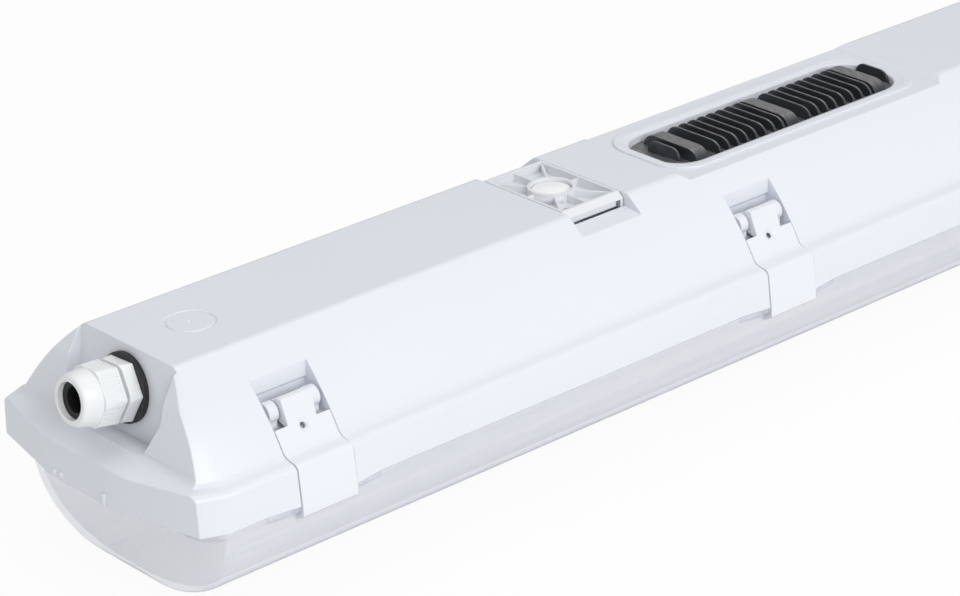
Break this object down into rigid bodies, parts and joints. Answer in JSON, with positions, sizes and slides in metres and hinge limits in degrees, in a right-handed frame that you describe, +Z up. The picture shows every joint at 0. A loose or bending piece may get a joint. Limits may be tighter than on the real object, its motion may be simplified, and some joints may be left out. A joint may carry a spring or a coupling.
{
  "type": "linear led light fixture",
  "caption": "Long weatherproof ceiling light with a clear trough cover held by swing latches, a finned heat sink in its top, clip-in ceiling brackets and a cable gland at one end.",
  "frame": {"origin": "middle of the fixture's length and width, on the flat top face that meets the ceiling", "axes": "+Z up to the ceiling, X along the fixture with the cable gland at the -X end, Y across it"},
  "size_m": [1.2045, 0.1452, 0.099],
  "materials": {
    "housing_plastic": "smooth satin moulding",
    "latch_plastic": "smooth satin moulding",
    "bracket_plastic": "smooth moulding",
    "plug_plastic": "smooth moulding",
    "gland_plastic": "smooth moulding",
    "clear_plastic": "clear with fine prism lines along it",
    "foam_seal": "matte foam",
    "black_rubber": "matte",
    "white_sheet": "gloss white",
    "zinc_steel": "zinc plated",
    "board_white": "white solder mask",
    "led_phosphor": "phosphor",
    "ivory_plastic": "matte",
    "driver_case": "smooth",
    "brass_tag": "tinned",
    "wire_sleeve": "smooth sleeve",
    "dark_casting": "dark cast surface with ground bar tops",
    "pad_blue": "soft pad"
  },
  "bodies": {
    "fixture": {"housing": "housing_plastic", "housing_gasket": "foam_seal", "diffuser": "clear_plastic", "gear_tray": "white_sheet", "tray_screws": "zinc_steel", "led_boards": "board_white", "led_packages": "led_phosphor", "board_connectors": "ivory_plastic", "led_driver": "driver_case", "driver_screws": "zinc_steel", "terminal_block": "ivory_plastic", "earth_tag": "brass_tag", "inner_wires": "wire_sleeve", "heatsink": "dark_casting", "heatsink_gasket": "black_rubber", "heatsink_screws": "zinc_steel", "thermal_pad": "pad_blue", "ceiling_bracket_1": "bracket_plastic", "ceiling_bracket_2": "bracket_plastic", "bracket_plug_1": "plug_plastic", "bracket_plug_2": "plug_plastic", "gland_washer": "black_rubber", "gland_body": "gland_plastic", "gland_seal": "black_rubber", "gland_locknut": "gland_plastic", "latch_pins": "housing_plastic"},
    "gland_nut": {"gland_nut": "gland_plastic"},
    "latch_near_1": {"latch_near_1": "latch_plastic"},
    "latch_near_2": {"latch_near_2": "latch_plastic"},
    "latch_near_3": {"latch_near_3": "latch_plastic"},
    "latch_near_4": {"latch_near_4": "latch_plastic"},
    "latch_near_5": {"latch_near_5": "latch_plastic"},
    "latch_far_1": {"latch_far_1": "latch_plastic"},
    "latch_far_2": {"latch_far_2": "latch_plastic"},
    "latch_far_3": {"latch_far_3": "latch_plastic"},
    "latch_far_4": {"latch_far_4": "latch_plastic"},
    "latch_far_5": {"latch_far_5": "latch_plastic"}
  },
  "joints": [
    {"name": "gland_nut_turn", "type": "hinge", "parent": "fixture", "child": "gland_nut", "pos_m": [-0.58928, 0, -0.01628], "axis": [-0.9934, 0, 0.1149], "continuous": true},
    {"name": "latch_near_1_swing", "type": "hinge", "parent": "fixture", "child": "latch_near_1", "pos_m": [-0.531, -0.04819, -0.024], "axis": [-1, 0, 0], "range_deg": [0, 95]},
    {"name": "latch_near_2_swing", "type": "hinge", "parent": "fixture", "child": "latch_near_2", "pos_m": [-0.2655, -0.04819, -0.024], "axis": [-1, 0, 0], "range_deg": [0, 95]},
    {"name": "latch_near_3_swing", "type": "hinge", "parent": "fixture", "child": "latch_near_3", "pos_m": [0, -0.04819, -0.024], "axis": [-1, 0, 0], "range_deg": [0, 95]},
    {"name": "latch_near_4_swing", "type": "hinge", "parent": "fixture", "child": "latch_near_4", "pos_m": [0.2655, -0.04819, -0.024], "axis": [-1, 0, 0], "range_deg": [0, 95]},
    {"name": "latch_near_5_swing", "type": "hinge", "parent": "fixture", "child": "latch_near_5", "pos_m": [0.531, -0.04819, -0.024], "axis": [-1, 0, 0], "range_deg": [0, 95]},
    {"name": "latch_far_1_swing", "type": "hinge", "parent": "fixture", "child": "latch_far_1", "pos_m": [-0.531, 0.04819, -0.024], "axis": [1, 0, 0], "range_deg": [0, 95]},
    {"name": "latch_far_2_swing", "type": "hinge", "parent": "fixture", "child": "latch_far_2", "pos_m": [-0.2655, 0.04819, -0.024], "axis": [1, 0, 0], "range_deg": [0, 95]},
    {"name": "latch_far_3_swing", "type": "hinge", "parent": "fixture", "child": "latch_far_3", "pos_m": [0, 0.04819, -0.024], "axis": [1, 0, 0], "range_deg": [0, 95]},
    {"name": "latch_far_4_swing", "type": "hinge", "parent": "fixture", "child": "latch_far_4", "pos_m": [0.2655, 0.04819, -0.024], "axis": [1, 0, 0], "range_deg": [0, 95]},
    {"name": "latch_far_5_swing", "type": "hinge", "parent": "fixture", "child": "latch_far_5", "pos_m": [0.531, 0.04819, -0.024], "axis": [1, 0, 0], "range_deg": [0, 95]}
  ]
}
